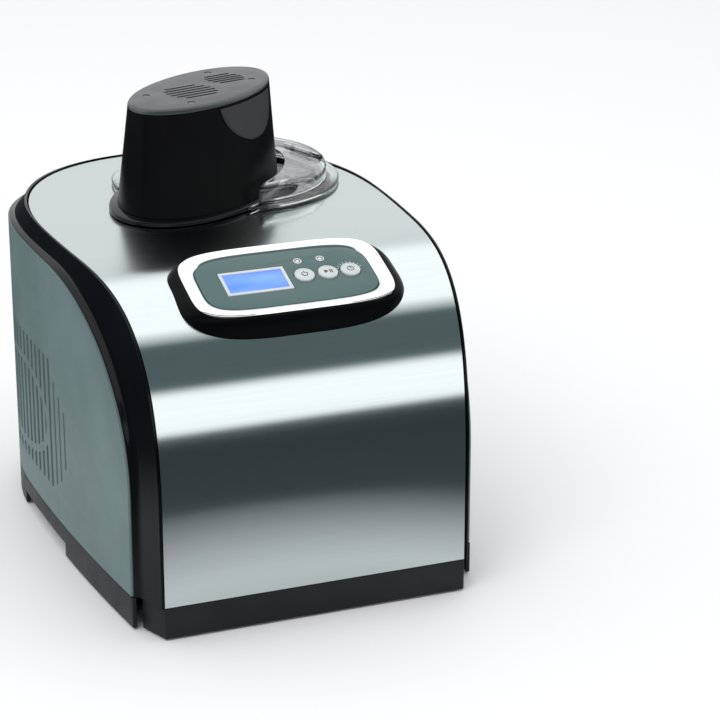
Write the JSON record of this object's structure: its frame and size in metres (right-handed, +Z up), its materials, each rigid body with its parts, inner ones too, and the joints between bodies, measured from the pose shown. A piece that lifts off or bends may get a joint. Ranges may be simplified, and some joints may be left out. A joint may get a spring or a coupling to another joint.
{
  "type": "ice cream maker",
  "caption": "Countertop compressor ice cream maker: steel arch body, sloping control panel, lift-out bowl in a cooled well, clear lid with filling flap, oval motor housing driving a paddle.",
  "frame": {"origin": "centre of the footprint, on the surface the feet stand on", "axes": "+X to the right of someone facing the control panel, +Y to the machine's back, +Z up; the control panel faces -Y"},
  "size_m": [0.2732, 0.3774, 0.3086],
  "materials": {
    "brushed_steel": "brushed",
    "silver_paint": "satin",
    "gloss_black": "gloss",
    "satin_black": "satin",
    "skirt_black": "satin",
    "clear": "clear polycarbonate",
    "chrome": "polished",
    "fascia_grey": "satin",
    "silver_print": "satin",
    "lcd_blue": "backlit",
    "grip_grey": "fine texture",
    "rubber": "matte",
    "aluminium": "satin",
    "anodised": "dark satin",
    "copper": "bright",
    "foam": "matte",
    "board_green": "satin",
    "zinc": "satin",
    "compressor_black": "semi-gloss",
    "white_plastic": "satin"
  },
  "bodies": {
    "base": {"base_pan": "skirt_black", "front_skirt": "skirt_black", "side_skirt_left": "skirt_black", "side_skirt_right": "skirt_black", "foot_front_left": "rubber", "foot_front_right": "rubber", "foot_rear_left": "rubber", "foot_rear_right": "rubber", "steel_cover": "brushed_steel", "side_frame_left": "gloss_black", "side_frame_right": "gloss_black", "side_panel_left": "silver_paint", "side_panel_right": "silver_paint", "rear_cover": "satin_black", "power_inlet": "satin_black", "panel_housing": "satin_black", "chrome_ring": "chrome", "panel_fascia": "fascia_grey", "lcd_frame": "silver_print", "lcd_window": "lcd_blue", "cooling_led": "white_plastic", "mixing_led": "white_plastic", "control_board": "board_green", "well_collar": "satin_black", "cooling_well": "aluminium", "well_insulation": "foam", "evaporator_coil": "copper", "compressor": "compressor_black", "compressor_bracket": "zinc", "discharge_line": "copper", "suction_line": "copper", "condenser": "aluminium", "fan_shroud": "satin_black", "fan_motor": "zinc"},
    "fan": {"fan_blades": "satin_black"},
    "power_button": {"power_button": "silver_print"},
    "start_button": {"start_button": "silver_print"},
    "timer_button": {"timer_button": "silver_print"},
    "bowl": {"bowl": "anodised", "bowl_ear_left": "zinc", "bowl_ear_right": "zinc"},
    "bail": {"bail_handle": "zinc"},
    "paddle": {"paddle": "white_plastic"},
    "lid": {"clear_lid": "clear", "flap_hinge_pin": "clear"},
    "flap": {"filling_flap": "clear"},
    "motor_unit": {"tower_base": "gloss_black", "motor_housing": "satin_black", "tower_cap": "satin_black", "cap_screw_1": "zinc", "cap_screw_2": "zinc", "cap_screw_3": "zinc", "cap_screw_4": "zinc", "grip_pad_front": "grip_grey", "grip_pad_back": "grip_grey", "gear_plate": "zinc", "mixing_motor": "zinc"},
    "output_gear": {"output_gear": "white_plastic"},
    "idler_gear": {"idler_gear": "white_plastic"},
    "rotor": {"motor_pinion": "zinc"}
  },
  "joints": [
    {"name": "bowl_lift", "type": "slide", "parent": "base", "child": "bowl", "axis": [0, 0, 1], "range_m": [0, 0.2]},
    {"name": "bail_swing", "type": "hinge", "parent": "bowl", "child": "bail", "pos_m": [0.0302, 0.08605, 0.2135], "axis": [1, 0, 0], "range_deg": [0, 90]},
    {"name": "paddle_spin", "type": "hinge", "parent": "bowl", "child": "paddle", "pos_m": [0.0302, 0.08605, 0.15], "axis": [0, 0, 1], "continuous": true},
    {"name": "lid_lift", "type": "slide", "parent": "bowl", "child": "lid", "axis": [0, 0, 1], "range_m": [0, 0.18]},
    {"name": "flap_hinge", "type": "hinge", "parent": "lid", "child": "flap", "pos_m": [0.08221, 0.10265, 0.2491], "axis": [-0.304, 0.9527, 0], "range_deg": [0, 100]},
    {"name": "motor_lift", "type": "slide", "parent": "lid", "child": "motor_unit", "axis": [0, 0, 1], "range_m": [0, 0.08]},
    {"name": "output_spin", "type": "hinge", "parent": "motor_unit", "child": "output_gear", "pos_m": [0.0302, 0.08605, 0.24], "axis": [0, 0, 1], "continuous": true},
    {"name": "idler_spin", "type": "hinge", "parent": "motor_unit", "child": "idler_gear", "pos_m": [-0.00204, 0.05381, 0.24], "axis": [0, 0, 1], "continuous": true},
    {"name": "rotor_spin", "type": "hinge", "parent": "motor_unit", "child": "rotor", "pos_m": [-0.01817, 0.03769, 0.24], "axis": [0, 0, 1], "continuous": true},
    {"name": "fan_spin", "type": "hinge", "parent": "base", "child": "fan", "pos_m": [-0.07, 0.06225, 0.085], "axis": [1, 0, 0], "continuous": true},
    {"name": "power_press", "type": "slide", "parent": "base", "child": "power_button", "axis": [0, 0.3173, -0.9483], "range_m": [0, 0.001], "stiffness_N_per_m": 600},
    {"name": "start_press", "type": "slide", "parent": "base", "child": "start_button", "axis": [0, 0.3173, -0.9483], "range_m": [0, 0.001], "stiffness_N_per_m": 600},
    {"name": "timer_press", "type": "slide", "parent": "base", "child": "timer_button", "axis": [0, 0.3173, -0.9483], "range_m": [0, 0.001], "stiffness_N_per_m": 600}
  ],
  "couplings": [
    {"joint": "output_spin", "follows": "paddle_spin", "ratio": 1},
    {"joint": "idler_spin", "follows": "paddle_spin", "ratio": -1.7143},
    {"joint": "rotor_spin", "follows": "paddle_spin", "ratio": 4.8},
    {"joint": "bail_swing", "follows": "lid_lift", "rad_per_m": 7.757}
  ]
}
